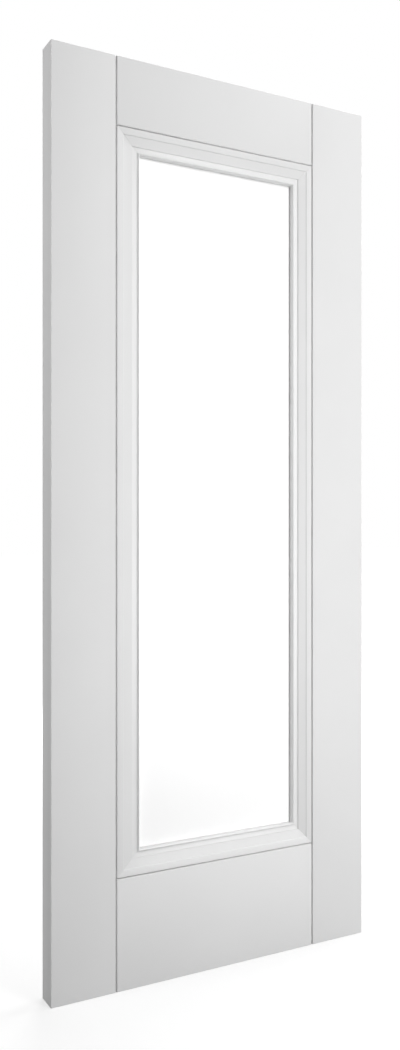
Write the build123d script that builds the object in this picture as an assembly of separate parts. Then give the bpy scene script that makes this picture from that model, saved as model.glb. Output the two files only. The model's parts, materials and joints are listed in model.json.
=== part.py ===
from build123d import *
import os

# A painted stile-and-rail door leaf with one tall light, a sealed double unit of satin glass.
# Millimetres. X runs across the leaf from the hinge edge, Y through it from front to back, Z up.
# The origin is the middle of the hinge edge's face.

# Leaf
leaf_width = 813.0
leaf_height = 2032.0
leaf_thickness = 54.0
stile_width = 149.0
top_rail_depth = 150.5
bottom_rail_depth = 245.5

# Facings and lippings
facing_thickness = 6.0
lipping_width = 8.0
arris = 0.8
groove_bevel = 2.4

# Tongue and groove between stiles, rails and mouldings
tongue_thickness = 10.0
tongue_length = 8.0
tongue_side_clearance = 0.15
tongue_tip_clearance = 1.0

# Moulding section, from the groove at its outer edge to the bead
band_width = 15.5
step_width = 4.2
step_drop = 1.8
slope_width = 19.3
slope_fall = 1.4

# Glazing bead: a cove that dips beside a round nose
bead_shadow_step = 0.6
cove_width = 10.2
cove_fall = 2.8
nose_width = 7.8
nose_recess = 0.2

# Sealed glass unit and its tape
pane_thickness = 4.0
cavity_thickness = 20.0
spacer_width = 9.0
glass_edge_clearance = 3.0
tape_thickness = 1.5
tape_setback = 0.5

# Places worked out from the sizes above
face_y = leaf_thickness / 2
core_y = face_y - facing_thickness
bottom_z = -leaf_height / 2
top_z = leaf_height / 2
opening_left = stile_width
opening_right = leaf_width - stile_width
opening_bottom = bottom_z + bottom_rail_depth
opening_top = top_z - top_rail_depth
opening_width = opening_right - opening_left
opening_height = opening_top - opening_bottom
socket_thickness = tongue_thickness + 2 * tongue_side_clearance
socket_depth = tongue_length + tongue_tip_clearance
moulding_width = band_width + step_width + slope_width
slope_end_depth = step_drop + slope_fall
bead_inset = moulding_width + cove_width + nose_width
cavity_y = cavity_thickness / 2
unit_y = cavity_y + pane_thickness
bead_seat_y = unit_y + tape_thickness
glass_inset = moulding_width + glass_edge_clearance
tape_inset = bead_inset - tape_setback
spacer_inset = glass_inset + spacer_width


def span_box(x_span, y_span, z_span):
    size = [high - low for low, high in (x_span, y_span, z_span)]
    corner = (x_span[0], y_span[0], z_span[0])
    return Pos(*corner) * Box(*size, align=(Align.MIN, Align.MIN, Align.MIN))


def opening_box(inset, y_span):
    # A block that fills the opening, drawn in from its edges by the inset.
    return span_box(
        (opening_left + inset, opening_right - inset),
        y_span,
        (opening_bottom + inset, opening_top - inset),
    )


def tongue_socket():
    # The groove that runs round the opening in both stiles and both rails.
    return opening_box(-socket_depth, (-socket_thickness / 2, socket_thickness / 2))


def stile(outer_x, inner_x):
    low, high = sorted((outer_x, inner_x))
    core = span_box((low, high), (-core_y, core_y), (bottom_z, top_z))
    into_stile = socket_depth if outer_x > inner_x else -socket_depth
    groove_x = sorted((inner_x, inner_x + into_stile))
    groove = span_box(groove_x, (-socket_thickness / 2, socket_thickness / 2), (bottom_z, top_z))
    return core - groove


def rail(z_span):
    core = span_box((opening_left, opening_right), (-core_y, core_y), z_span)
    tongues = span_box(
        (opening_left - tongue_length, opening_right + tongue_length),
        (-tongue_thickness / 2, tongue_thickness / 2),
        z_span,
    )
    return core + tongues - tongue_socket()


def lipping(x_span):
    return span_box(x_span, (-core_y, core_y), (bottom_z, top_z))


def facing(x_span, z_span, groove_sides):
    # A sheet glued to the front of a stile or rail. Its shown face is bevelled where it meets
    # a neighbour, which makes half of a V-groove, and only eased along the leaf's outer edges.
    sheet = span_box(x_span, (-face_y, -core_y), z_span)
    rim = sheet.faces().sort_by(Axis.Y)[0].edges()
    sides = {
        "left": rim.sort_by(Axis.X)[0],
        "right": rim.sort_by(Axis.X)[-1],
        "bottom": rim.sort_by(Axis.Z)[0],
        "top": rim.sort_by(Axis.Z)[-1],
    }
    grooved = [edge for side, edge in sides.items() if side in groove_sides]
    eased = [edge for side, edge in sides.items() if side not in groove_sides]
    sheet = chamfer(grooved, groove_bevel)
    return chamfer(matching_edges(sheet, eased), arris)


def matching_edges(solid, edges):
    # The edges of the solid that lie along the given edges of an earlier state of it.
    found = []
    for edge in edges:
        found.append(min(solid.edges(), key=lambda other: (other.center() - edge.center()).length))
    return found


def moulding_section():
    # X is the distance in from the groove line, Y runs through the leaf.
    shown = [
        (0, groove_bevel),
        (groove_bevel, 0),
        (band_width, 0),
        (band_width + step_width, step_drop),
        (moulding_width, slope_end_depth),
    ]
    front = [(x, depth - face_y) for x, depth in shown]
    back = [(x, -y) for x, y in reversed(front)]
    half_tongue = tongue_thickness / 2
    tongue = [
        (0, half_tongue),
        (-tongue_length, half_tongue),
        (-tongue_length, -half_tongue),
        (0, -half_tongue),
    ]
    return make_face(Polyline(*front, *back, *tongue, close=True))


def bead_section():
    # The bead stands against the moulding's inner edge and against the tape on the glass.
    nose_x = moulding_width + cove_width
    cove_start_y = slope_end_depth + bead_shadow_step - face_y
    valley_y = cove_start_y + cove_fall
    crown_y = nose_recess - face_y
    shoulder_y = crown_y + nose_width / 2
    cove_start = (moulding_width, cove_start_y)
    valley = (nose_x, valley_y)
    outer_shoulder = (nose_x, shoulder_y)
    crown = (nose_x + nose_width / 2, crown_y)
    inner_shoulder = (bead_inset, shoulder_y)
    inner_foot = (bead_inset, -bead_seat_y)
    outer_foot = (moulding_width, -bead_seat_y)
    outline = [
        TangentArc(valley, cove_start, tangent=(-1, 0)),
        Line(valley, outer_shoulder),
        ThreePointArc(outer_shoulder, crown, inner_shoulder),
        Line(inner_shoulder, inner_foot),
        Line(inner_foot, outer_foot),
        Line(outer_foot, cove_start),
    ]
    return make_face(outline)


def mitred_length(section, length):
    # The section run along Z between two mitres. A point that lies in from the groove line by
    # some distance starts that distance up and ends that distance short.
    box = section.bounding_box()
    low, high = box.min.X, box.max.X
    outline = Polyline(
        (low, 0, low), (high, 0, high), (high, 0, length - high), (low, 0, length - low), close=True
    )
    mitres = extrude(make_face(outline), leaf_thickness, dir=(0, 1, 0), both=True)
    bar = Pos(0, 0, low) * extrude(section, length - 2 * low, dir=(0, 0, 1))
    return bar & mitres


def round_opening(section):
    # Four mitred lengths of one section, laid round the opening.
    upright = mitred_length(section, opening_height)
    level = mitred_length(section, opening_width)
    return {
        "left": Pos(opening_left, 0, opening_bottom) * upright,
        "right": Pos(opening_right, 0, opening_top) * Rot(0, 180, 0) * upright,
        "top": Pos(opening_left, 0, opening_top) * Rot(0, 90, 0) * level,
        "bottom": Pos(opening_right, 0, opening_bottom) * Rot(0, -90, 0) * level,
    }


def opening_frame(outer_inset, inner_inset, y_span):
    return opening_box(outer_inset, y_span) - opening_box(inner_inset, y_span)


def front_and_back(name, shape):
    return {f"front_{name}": shape, f"back_{name}": mirror(shape, about=Plane.XZ)}


def leaf_pieces():
    leaf_z = (bottom_z, top_z)
    left_x = (0, opening_left)
    middle_x = (opening_left, opening_right)
    right_x = (opening_right, leaf_width)
    pieces = {
        "left_stile": stile(lipping_width, opening_left),
        "right_stile": stile(leaf_width - lipping_width, opening_right),
        "top_rail": rail((opening_top, top_z)),
        "bottom_rail": rail((bottom_z, opening_bottom)),
        "hinge_edge_lipping": lipping((0, lipping_width)),
        "lock_edge_lipping": lipping((leaf_width - lipping_width, leaf_width)),
    }
    facings = {
        "left_stile_facing": facing(left_x, leaf_z, ["right"]),
        "right_stile_facing": facing(right_x, leaf_z, ["left"]),
        "top_rail_facing": facing(middle_x, (opening_top, top_z), ["left", "right", "bottom"]),
        "bottom_rail_facing": facing(middle_x, (bottom_z, opening_bottom), ["left", "right", "top"]),
    }
    for name, shape in facings.items():
        pieces |= front_and_back(name, shape)
    for side, shape in round_opening(moulding_section()).items():
        pieces[f"{side}_moulding"] = shape
    for side, shape in round_opening(bead_section()).items():
        pieces |= front_and_back(f"{side}_bead", shape)
    tape = opening_frame(glass_inset, tape_inset, (-bead_seat_y, -unit_y))
    pane = opening_box(glass_inset, (-unit_y, -cavity_y))
    pieces |= front_and_back("glazing_tape", tape)
    pieces |= front_and_back("glass_pane", pane)
    pieces["glass_unit_spacer"] = opening_frame(glass_inset, spacer_inset, (-cavity_y, cavity_y))
    return pieces


os.makedirs("parts", exist_ok=True)
for node, solid in leaf_pieces().items():
    export_step(solid, f"parts/{node}.step")
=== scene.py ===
import json
import math
import bpy
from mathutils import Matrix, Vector


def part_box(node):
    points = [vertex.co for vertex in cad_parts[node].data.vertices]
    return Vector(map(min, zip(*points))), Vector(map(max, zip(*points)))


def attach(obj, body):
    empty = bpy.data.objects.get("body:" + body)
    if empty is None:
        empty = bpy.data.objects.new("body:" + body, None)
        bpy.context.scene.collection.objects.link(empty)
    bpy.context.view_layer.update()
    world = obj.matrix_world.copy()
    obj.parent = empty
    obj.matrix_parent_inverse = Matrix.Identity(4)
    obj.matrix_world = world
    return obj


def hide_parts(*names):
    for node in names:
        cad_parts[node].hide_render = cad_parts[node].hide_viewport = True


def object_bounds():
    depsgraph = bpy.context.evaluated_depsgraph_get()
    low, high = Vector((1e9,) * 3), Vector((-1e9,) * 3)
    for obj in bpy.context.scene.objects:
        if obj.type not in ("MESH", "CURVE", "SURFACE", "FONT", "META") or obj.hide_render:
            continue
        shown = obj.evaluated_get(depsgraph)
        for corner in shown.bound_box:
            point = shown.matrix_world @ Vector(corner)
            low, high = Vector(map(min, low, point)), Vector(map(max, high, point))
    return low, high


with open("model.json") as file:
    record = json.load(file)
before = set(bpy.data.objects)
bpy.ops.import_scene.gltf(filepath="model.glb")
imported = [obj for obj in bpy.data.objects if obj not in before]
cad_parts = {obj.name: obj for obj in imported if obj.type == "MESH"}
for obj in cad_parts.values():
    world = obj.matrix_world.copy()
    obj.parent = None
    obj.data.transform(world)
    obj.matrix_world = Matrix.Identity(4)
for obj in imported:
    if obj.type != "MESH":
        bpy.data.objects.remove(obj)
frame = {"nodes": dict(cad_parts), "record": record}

cadLow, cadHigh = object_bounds()
mm = 0.001


def say(stage):
    print("door leaf:", stage)


# Colours and shader nodes

def linearColour(hexText):
    channels = [int(hexText[i:i + 2], 16) / 255 for i in (1, 3, 5)]
    return tuple(c / 12.92 if c <= 0.04045 else ((c + 0.055) / 1.055) ** 2.4 for c in channels) + (1.0,)


def addNode(material, kind, settings=None, links=None):
    # settings go to the input of that name or to the node itself
    # links bring outputs to inputs, by name or number
    node = material.node_tree.nodes.new(kind)
    for name, value in (settings or {}).items():
        if name in node.inputs:
            node.inputs[name].default_value = value
        else:
            setattr(node, name, value)
    for name, output in (links or {}).items():
        material.node_tree.links.new(output, node.inputs[name])
    return node


def newMaterial(name):
    material = bpy.data.materials.new(name)
    material.use_nodes = True
    material.node_tree.nodes.clear()
    return material


def finishMaterial(material, surface):
    addNode(material, "ShaderNodeOutputMaterial", links={"Surface": surface})
    return material


# Satin water-based paint on timber and MDF: rolled on the flat pieces, sprayed on the mouldings
# and dipped on the beads

satinPaint = {
    "colour": "#dedede",        # neutral white with no cream in it
    "thinColour": "#dadada",    # where the coat is a little thinner
    "rolledRoughness": 0.58,
    "sprayedRoughness": 0.52,
    "dippedRoughness": 0.42,
    "roughnessSpread": 0.04,
    "ior": 1.48,
    "stippleSize": 1.6,         # mm between the roller's dimples, drawn coarser than the real 0.8
    "stippleDetail": 2.0,
    "rolledHeight": 0.02,       # mm from dimple to crest, and so on down
    "sprayedHeight": 0.008,
    "dippedHeight": 0.004,
    "cloudSize": 160.0,         # mm across a patch where the coat is thicker or thinner
    "cloudDetail": 3.0,
    "beadWhiteAndCrestHighlight": "#e3e3e3",    # the beads are dipped apart from the leaf and come out a little whiter; part of this extra white is a painted highlight along each bead's bright crest
    # the thinner coat of the bead is whiter too, partly whiter dip and partly painted highlight along
    # the crest
    "beadThinWhiteAndCrestHighlight": "#e0e0e0",
}


def paintMaterial(name, coat, seedShift, thick="colour", thin="thinColour"):
    # low even sheen, no grain, the faintest orange peel
    # a sprayed coat is smoother and a dipped one smoother still, and they catch finer lights
    middle = satinPaint[coat + "Roughness"]
    paint = newMaterial(name)
    place = addNode(paint, "ShaderNodeTexCoord")
    shifted = addNode(
        paint, "ShaderNodeMapping",
        {"Location": seedShift},
        {"Vector": place.outputs["Object"]},
    )
    cloud = addNode(
        paint, "ShaderNodeTexNoise",
        {"Scale": 1 / (satinPaint["cloudSize"] * mm), "Detail": satinPaint["cloudDetail"]},
        {"Vector": shifted.outputs["Vector"]},
    )
    colour = addNode(paint, "ShaderNodeMix", {"data_type": "RGBA"}, {"Factor": cloud.outputs["Fac"]})
    # a Mix node keeps its two colours in sockets 6 and 7 and its mixed colour in output 2
    colour.inputs[6].default_value = linearColour(satinPaint[thick])
    colour.inputs[7].default_value = linearColour(satinPaint[thin])
    stipple = addNode(
        paint, "ShaderNodeTexNoise",
        {"Scale": 1 / (satinPaint["stippleSize"] * mm), "Detail": satinPaint["stippleDetail"]},
        {"Vector": shifted.outputs["Vector"]},
    )
    roughness = addNode(
        paint, "ShaderNodeMapRange",
        {
            "To Min": middle - satinPaint["roughnessSpread"],
            "To Max": middle + satinPaint["roughnessSpread"],
        },
        {"Value": cloud.outputs["Fac"]},
    )
    bump = addNode(
        paint, "ShaderNodeBump",
        {"Distance": satinPaint[coat + "Height"] * mm},
        {"Height": stipple.outputs["Fac"]},
    )
    shader = addNode(
        paint, "ShaderNodeBsdfPrincipled",
        {"IOR": satinPaint["ior"]},
        {
            "Base Color": colour.outputs[2],
            "Roughness": roughness.outputs["Result"],
            "Normal": bump.outputs["Normal"],
        },
    )
    return finishMaterial(paint, shader.outputs["BSDF"])


# White glass with an acid-etched face: milky and even, soft broad lights, no view through

satinGlass = {
    "colour": "#fdfdfd",
    "etchedRoughness": 0.3,
    "ior": 1.52,
    "lightLetThrough": 0.01,    # share of the light that goes on through instead of scattering back
    "etchGrain": 1.2,           # mm between the bites of the acid, drawn far coarser than the real 0.05
    "etchDetail": 2.0,
    "etchDepth": 0.004,         # mm
}


def glassMaterial():
    glass = newMaterial("acidEtchedOpalGlass")
    place = addNode(glass, "ShaderNodeTexCoord")
    etch = addNode(
        glass, "ShaderNodeTexNoise",
        {"Scale": 1 / (satinGlass["etchGrain"] * mm), "Detail": satinGlass["etchDetail"]},
        {"Vector": place.outputs["Object"]},
    )
    bump = addNode(
        glass, "ShaderNodeBump",
        {"Distance": satinGlass["etchDepth"] * mm},
        {"Height": etch.outputs["Fac"]},
    )
    shader = addNode(
        glass, "ShaderNodeBsdfPrincipled",
        {
            "Base Color": linearColour(satinGlass["colour"]),
            "Roughness": satinGlass["etchedRoughness"],
            "IOR": satinGlass["ior"],
            "Transmission Weight": satinGlass["lightLetThrough"],
        },
        {"Normal": bump.outputs["Normal"]},
    )
    return finishMaterial(glass, shader.outputs["BSDF"])


# Closed-cell foam tape between glass and beads: a thin matt grey line, pitted by its cut cells

foamTape = {
    "colour": "#969695",
    "roughness": 0.85,
    "cellSize": 0.5,            # mm
    "cellHeight": 0.03,         # mm
}


def tapeMaterial():
    tape = newMaterial("closedCellFoamTape")
    place = addNode(tape, "ShaderNodeTexCoord")
    cells = addNode(
        tape, "ShaderNodeTexVoronoi",
        {"Scale": 1 / (foamTape["cellSize"] * mm)},
        {"Vector": place.outputs["Object"]},
    )
    bump = addNode(
        tape, "ShaderNodeBump",
        {"Distance": foamTape["cellHeight"] * mm},
        {"Height": cells.outputs["Distance"]},
    )
    shader = addNode(
        tape, "ShaderNodeBsdfPrincipled",
        {"Base Color": linearColour(foamTape["colour"]), "Roughness": foamTape["roughness"]},
        {"Normal": bump.outputs["Normal"]},
    )
    return finishMaterial(tape, shader.outputs["BSDF"])


# Warm-edge spacer bar between the two panes of the sealed unit, extruded: even, slightly silky grey

spacerBar = {
    "colour": "#dcdcdb",        # pale grey extruded composite
    "roughness": 0.5,
    "ribSpacing": 2.5,          # mm between the fine drawing lines along the bar
    "ribHeight": 0.04,          # mm
}


def spacerMaterial():
    # fine lines along the bar; a wave texture repeats every pi / 10 over its scale
    bar = newMaterial("extrudedWarmEdgeSpacer")
    place = addNode(bar, "ShaderNodeTexCoord")
    ribs = addNode(
        bar, "ShaderNodeTexWave",
        {"bands_direction": "Y", "Scale": math.pi / 10 / (spacerBar["ribSpacing"] * mm)},
        {"Vector": place.outputs["Object"]},
    )
    bump = addNode(
        bar, "ShaderNodeBump",
        {"Distance": spacerBar["ribHeight"] * mm},
        {"Height": ribs.outputs["Fac"]},
    )
    shader = addNode(
        bar, "ShaderNodeBsdfPrincipled",
        {"Base Color": linearColour(spacerBar["colour"]), "Roughness": spacerBar["roughness"]},
        {"Normal": bump.outputs["Normal"]},
    )
    return finishMaterial(bar, shader.outputs["BSDF"])


say("mixing finishes")
finishes = {
    "painted_mdf_facing": paintMaterial("rolledSatinPaintOnMdf", "rolled", (0, 0, 0)),
    "painted_hardwood_lipping": paintMaterial("rolledSatinPaintOnHardwood", "rolled", (1, 0, 2)),
    "painted_timber_core": paintMaterial("rolledSatinPaintOnSoftwood", "rolled", (2, 1, 0)),
    "painted_moulding": paintMaterial("sprayedSatinPaintOnMoulding", "sprayed", (0, 3, 1)),
    # the beads' whiter colours are partly a real whiter dip and partly a painted highlight along their
    # crests
    "painted_glazing_bead": paintMaterial(
        "dippedWhiterPaintAndPaintedHighlightOnBead", "dipped", (3, 0, 1), "beadWhiteAndCrestHighlight", "beadThinWhiteAndCrestHighlight",
    ),
    "glazing_tape": tapeMaterial(),
    "satin_glass": glassMaterial(),
    "unit_spacer": spacerMaterial(),
}
slotOfNode = {part["node"]: part["material_slot"] for part in frame["record"]["subparts"]}


# Painted pieces: each is the CAD piece with its arrises softened by sanding and paint

softening = {
    "arrisWidth": 0.35,         # mm, how far the rounding runs back from each corner
    "segments": 2,
    "sharpAngle": 20.0,         # degrees; anything sharper than this is an arris
    "smoothAngle": 35.0,        # degrees; faces that turn by less than this shade as one
    "weldWithin": 0.002,        # mm; the CAD mesh comes as loose triangles
    "flatWithin": 0.5,          # degrees; triangles that turn by less than this are one flat face
}
hairline = {
    # mm each piece stands back from the left, right, bottom and top groove line to show the joint
    "halfWidths": (0.6, 0.95, 0.6, 0.75),
    "reach": 0.01,              # mm within which a point counts as on the line
}
crispSection = {
    # mm in from the groove line and mm behind the face, in pairs of the CAD's place and the finer one
    "stepTop": ((15.5, 0.0), (16.3, 0.0)),
    "stepFoot": ((19.7, 1.8), (18.1, 1.9)),
    "reach": 0.15,              # how near a point has to lie to such a place
}
crispBead = {
    # the same measures: a cove that lies flat at first, then rises ever steeper to a narrow crest
    "coveEnds": ((39.0, 49.2), (39.0, 50.0)),
    "riseEnds": ((49.2, 53.1), (51.0, 53.1)),
    "flatUntil": 43.0,
    "coveDepth": 5.2,           # how far the flat lies behind the face
    "crestDepth": 0.2,
    "steepening": 5.0,          # power of the rise, more is later and steeper
    "crestEnds": 54.6,          # from here a chamfer falls towards the glass
    "chamferEnds": 57.0,
    "chamferDepth": 4.0,
    "noseStartsBehind": 4.1,    # how far back the CAD's round nose reaches
    "footStartsBehind": 9.0,    # deeper than this the bead stays as it is
    "crowding": 0.12,           # points of the nose's arc that lie nearer than this become one
    "sliver": 0.01,             # edges and faces thinner than this go
}
grooveLines = [
    (0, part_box("front_left_stile_facing")[1][0]),
    (0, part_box("front_right_stile_facing")[0][0]),
    (2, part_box("front_bottom_rail_facing")[1][2]),
    (2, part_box("front_top_rail_facing")[0][2]),
]


def deselectAll():
    bpy.ops.object.select_all(action="DESELECT")


def openHairline(piece, axis, place, halfWidth):
    # the piece's points on the groove line are drawn back towards its own middle
    vertices = piece.data.vertices
    points = [vertex for vertex in vertices if abs(vertex.co[axis] - place) < hairline["reach"] * mm]
    if not points:
        return
    middle = sum(vertex.co[axis] for vertex in vertices) / len(vertices)
    for vertex in points:
        vertex.select = True
    back = [0.0, 0.0, 0.0]
    back[axis] = math.copysign(halfWidth * mm, middle - place)
    bpy.ops.object.mode_set(mode="EDIT")
    bpy.ops.transform.translate(value=back)
    bpy.ops.mesh.select_all(action="DESELECT")
    bpy.ops.object.mode_set(mode="OBJECT")


def between(value, old, new):
    # carries a value from its place in the old span to the same place in the new one
    return new[0] + (value - old[0]) * (new[1] - new[0]) / (old[1] - old[0])


def coveBehind(inFrom):
    # how far the risen cove lies behind the face
    bead = crispBead
    rise = max(0.0, (inFrom - bead["flatUntil"]) / (bead["riseEnds"][1][1] - bead["flatUntil"]))
    return bead["coveDepth"] - (bead["coveDepth"] - bead["crestDepth"]) * rise ** bead["steepening"]


def crisperPlace(part, inFrom, behind):
    # where a point goes that lies so far in from the groove line and so far behind the face
    reach = crispSection["reach"]
    if part == "moulding":
        for old, new in (crispSection["stepTop"], crispSection["stepFoot"]):
            if math.dist(old, (inFrom, behind)) < reach:
                return new
        return inFrom, behind
    bead = crispBead
    if behind > bead["footStartsBehind"]:
        return inFrom, behind
    riseStarts, riseStops = bead["riseEnds"][0]
    if inFrom > riseStops:
        down = max(0.0, (inFrom - bead["crestEnds"]) / (bead["chamferEnds"] - bead["crestEnds"]))
        return inFrom, bead["crestDepth"] + (bead["chamferDepth"] - bead["crestDepth"]) * down
    onNose = inFrom > riseStarts - reach and behind < bead["noseStartsBehind"] + reach
    newIn = between(inFrom, *bead["riseEnds" if onNose else "coveEnds"])
    return newIn, coveBehind(newIn)


def sharpenSection(piece, side, part):
    # a point that moves across the section moves as far along it, which keeps the mitres closed
    acrossAxis, line = grooveLines[["left", "right", "bottom", "top"].index(side)]
    alongAxis = 2 - acrossAxis
    vertices = piece.data.vertices
    middle = sum((vertex.co for vertex in vertices), Vector()) / len(vertices)
    for vertex in vertices:
        inFrom = abs(vertex.co[acrossAxis] - line) / mm
        behind = (cadHigh.y - abs(vertex.co.y)) / mm
        newIn, newBehind = crisperPlace(part, inFrom, behind)
        shift = (newIn - inFrom) * mm
        vertex.co[acrossAxis] += math.copysign(1.0, middle[acrossAxis] - line) * shift
        vertex.co[alongAxis] += math.copysign(1.0, middle[alongAxis] - vertex.co[alongAxis]) * shift
        vertex.co.y = math.copysign(cadHigh.y - newBehind * mm, vertex.co.y)


def mergeCrowdedPoints():
    # the arc of the nose is drawn finer than it shows, and its two ends differ
    bpy.ops.object.mode_set(mode="EDIT")
    bpy.ops.mesh.select_all(action="SELECT")
    bpy.ops.mesh.remove_doubles(threshold=crispBead["crowding"] * mm)
    bpy.ops.mesh.dissolve_degenerate(threshold=crispBead["sliver"] * mm)
    bpy.ops.mesh.select_all(action="DESELECT")
    bpy.ops.object.mode_set(mode="OBJECT")


def softenedCopy(nodeName):
    deselectAll()
    piece = bpy.data.objects.new("painted_" + nodeName, frame["nodes"][nodeName].data.copy())
    bpy.context.scene.collection.objects.link(piece)
    bpy.context.view_layer.objects.active = piece
    piece.select_set(True)
    bpy.ops.object.mode_set(mode="EDIT")
    bpy.ops.mesh.select_all(action="SELECT")
    bpy.ops.mesh.remove_doubles(threshold=softening["weldWithin"] * mm)
    bpy.ops.mesh.customdata_custom_splitnormals_clear()
    bpy.ops.mesh.dissolve_limited(angle_limit=math.radians(softening["flatWithin"]))
    bpy.ops.mesh.select_mode(type="VERT")
    bpy.ops.mesh.select_all(action="DESELECT")
    bpy.ops.object.mode_set(mode="OBJECT")
    if nodeName.endswith(("_facing", "_moulding")):
        for (axis, place), halfWidth in zip(grooveLines, hairline["halfWidths"]):
            openHairline(piece, axis, place, halfWidth)
    if nodeName.endswith(("_bead", "_moulding")):
        sharpenSection(piece, *nodeName.split("_")[-2:])
    if nodeName.endswith("_bead"):
        mergeCrowdedPoints()
    bevel = piece.modifiers.new("softArris", "BEVEL")
    bevel.limit_method = "ANGLE"
    bevel.angle_limit = math.radians(softening["sharpAngle"])
    bevel.width = softening["arrisWidth"] * mm
    bevel.segments = softening["segments"]
    bevel.use_clamp_overlap = True
    bpy.ops.object.modifier_apply(modifier=bevel.name)
    bpy.ops.object.shade_smooth_by_angle(angle=math.radians(softening["smoothAngle"]))
    piece.data.materials.clear()
    piece.data.materials.append(finishes[slotOfNode[nodeName]])
    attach(piece, "root")
    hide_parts(nodeName)


say("softening painted arrises")
for nodeName in sorted(name for name, slot in slotOfNode.items() if slot.startswith("painted_")):
    softenedCopy(nodeName)

say("finishing glass and tape")
for nodeName, slotName in slotOfNode.items():
    if not slotName.startswith("painted_"):
        for slot in frame["nodes"][nodeName].material_slots:
            slot.material = finishes[slotName]


# Floor, backdrop light and lamps

studio = {
    "floorColour": "#a0a0a0",   # as the camera sees it
    "floorBounce": "#808080",   # as it throws light back on the leaf
    "floorSize": 60.0,          # m
    "floorMiddle": (0.4, 0.0),  # m, under the middle of the leaf
    "floorLift": (0.64, 0.95),  # what the camera sees on top of the lit floor, near and far
    "liftReach": (0.9, 3.2),    # m from the leaf's foot, where near ends and far begins
    "backdropColour": "#ffffff",
    "backdrop": 1.0,            # level of the backdrop as the camera and reflections see it
    "surround": 0.2,            # level of the soft light from all round
}
lamps = {
    "keySoftbox": {
        "place": (1.255, -2.35, 1.3),
        "aim": (0.4, 0.0, 0.75),
        "size": (0.9, 2.8),     # m across and up
        "power": 46.5,          # W
    },
    "rightHighSoftbox": {
        "place": (2.9, 0.3, 4.1),
        "aim": (0.4, 0.0, 0.0),
        "size": (2.0, 2.0),
        "power": 125.0,
    },
    "leftSoftbox": {
        "place": (-3.0, -0.15, 1.2),
        "aim": (0.0, 0.0, 0.3),
        "size": (1.5, 1.5),
        "power": 46.0,
    },
    "lowSoftbox": {
        "place": (1.25, -2.25, -0.65),
        "aim": (0.4, 0.0, -0.5),
        "size": (1.5, 0.6),
        "power": 25.5,
    },
    "backSoftbox": {
        "place": (1.7, 2.8, 0.8),
        "aim": (0.4, 0.0, 0.3),
        "size": (1.4, 2.6),
        "power": 84.0,
    },
}


def lightPathMask(material, *rayKinds):
    # 1 where a ray is one of these kinds
    path = addNode(material, "ShaderNodeLightPath")
    mask = path.outputs[rayKinds[0]]
    for kind in rayKinds[1:]:
        either = addNode(
            material, "ShaderNodeMath",
            {"operation": "MAXIMUM"},
            {0: mask, 1: path.outputs[kind]},
        )
        mask = either.outputs[0]
    return mask


def makeFloor():
    deselectAll()
    middleX, middleY = studio["floorMiddle"]
    bpy.ops.mesh.primitive_plane_add(size=studio["floorSize"], location=(middleX, middleY, cadLow.z))
    floor = bpy.context.object
    floor.name = "studioFloor"
    paper = newMaterial("mattStudioPaper")
    seenDirectly = lightPathMask(paper, "Is Camera Ray", "Is Transmission Ray")
    seenAtAll = lightPathMask(paper, "Is Camera Ray", "Is Transmission Ray", "Is Glossy Ray")
    bounced = addNode(paper, "ShaderNodeBsdfDiffuse", {"Color": linearColour(studio["floorBounce"])})
    seen = addNode(paper, "ShaderNodeBsdfDiffuse", {"Color": linearColour(studio["floorColour"])})
    lit = addNode(
        paper, "ShaderNodeMixShader",
        links={"Fac": seenDirectly, 1: bounced.outputs[0], 2: seen.outputs[0]},
    )
    place = addNode(paper, "ShaderNodeTexCoord")
    reach = addNode(
        paper, "ShaderNodeVectorMath",
        {"operation": "LENGTH"},
        {"Vector": place.outputs["Object"]},
    )
    nearReach, farReach = studio["liftReach"]
    nearLift, farLift = studio["floorLift"]
    strength = addNode(
        paper, "ShaderNodeMapRange",
        {"From Min": nearReach, "From Max": farReach, "To Min": nearLift, "To Max": farLift},
        {"Value": reach.outputs["Value"]},
    )
    lift = addNode(paper, "ShaderNodeEmission", links={"Strength": strength.outputs["Result"]})
    lifted = addNode(paper, "ShaderNodeAddShader", links={0: lit.outputs[0], 1: lift.outputs[0]})
    mix = addNode(
        paper, "ShaderNodeMixShader",
        links={"Fac": seenAtAll, 1: lit.outputs[0], 2: lifted.outputs[0]},
    )
    floor.data.materials.append(finishMaterial(paper, mix.outputs[0]))


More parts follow.
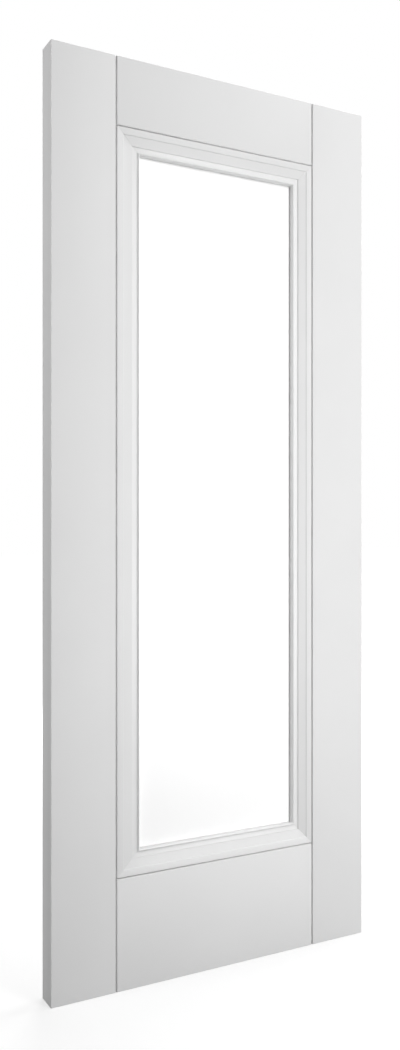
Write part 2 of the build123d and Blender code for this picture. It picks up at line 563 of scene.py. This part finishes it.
def makeBackdrop():
    world = bpy.data.worlds.new("studioSurround")
    bpy.context.scene.world = world
    world.use_nodes = True
    world.node_tree.nodes.clear()
    white = linearColour(studio["backdropColour"])
    seen = addNode(world, "ShaderNodeBackground", {"Color": white, "Strength": studio["backdrop"]})
    soft = addNode(world, "ShaderNodeBackground", {"Color": white, "Strength": studio["surround"]})
    seenAtAll = lightPathMask(world, "Is Camera Ray", "Is Transmission Ray", "Is Glossy Ray")
    mix = addNode(
        world, "ShaderNodeMixShader",
        links={"Fac": seenAtAll, 1: soft.outputs[0], 2: seen.outputs[0]},
    )
    addNode(world, "ShaderNodeOutputWorld", links={"Surface": mix.outputs[0]})


def addLamp(name, lamp):
    deselectAll()
    bpy.ops.object.light_add(type="AREA", location=lamp["place"])
    light = bpy.context.object
    light.name = name
    light.data.shape = "RECTANGLE"
    light.data.size, light.data.size_y = lamp["size"]
    light.data.energy = lamp["power"]
    towards = Vector(lamp["aim"]) - Vector(lamp["place"])
    light.rotation_euler = towards.to_track_quat("-Z", "Y").to_euler()


# Camera: level, to the left of the leaf, looking across its face

cameraView = {
    "place": (-0.718, -1.996, -0.0024),
    "tilt": 90.0,               # degrees from looking straight down, so level
    "turn": 28.59,              # degrees to the right of straight on
    "focalPixels": 989.44,      # focal length in pixels of the photograph
    "imageHeight": 1050.0,      # pixels
    "sensor": 36.0,             # mm along the photograph's longer side
    "clipNear": 0.05,           # m
    "clipFar": 200.0,           # m
}


def makeCamera():
    deselectAll()
    bpy.ops.object.camera_add(
        location=cameraView["place"],
        rotation=(math.radians(cameraView["tilt"]), 0, -math.radians(cameraView["turn"])),
    )
    camera = bpy.context.object
    camera.name = "photographCamera"
    camera.data.sensor_width = cameraView["sensor"]
    camera.data.lens = cameraView["focalPixels"] / cameraView["imageHeight"] * cameraView["sensor"]
    camera.data.clip_start = cameraView["clipNear"]
    camera.data.clip_end = cameraView["clipFar"]
    bpy.context.scene.camera = camera


say("lighting and camera")
makeFloor()
makeBackdrop()
for lampName, lamp in lamps.items():
    addLamp(lampName, lamp)
makeCamera()
bpy.context.scene.view_settings.view_transform = "Standard"
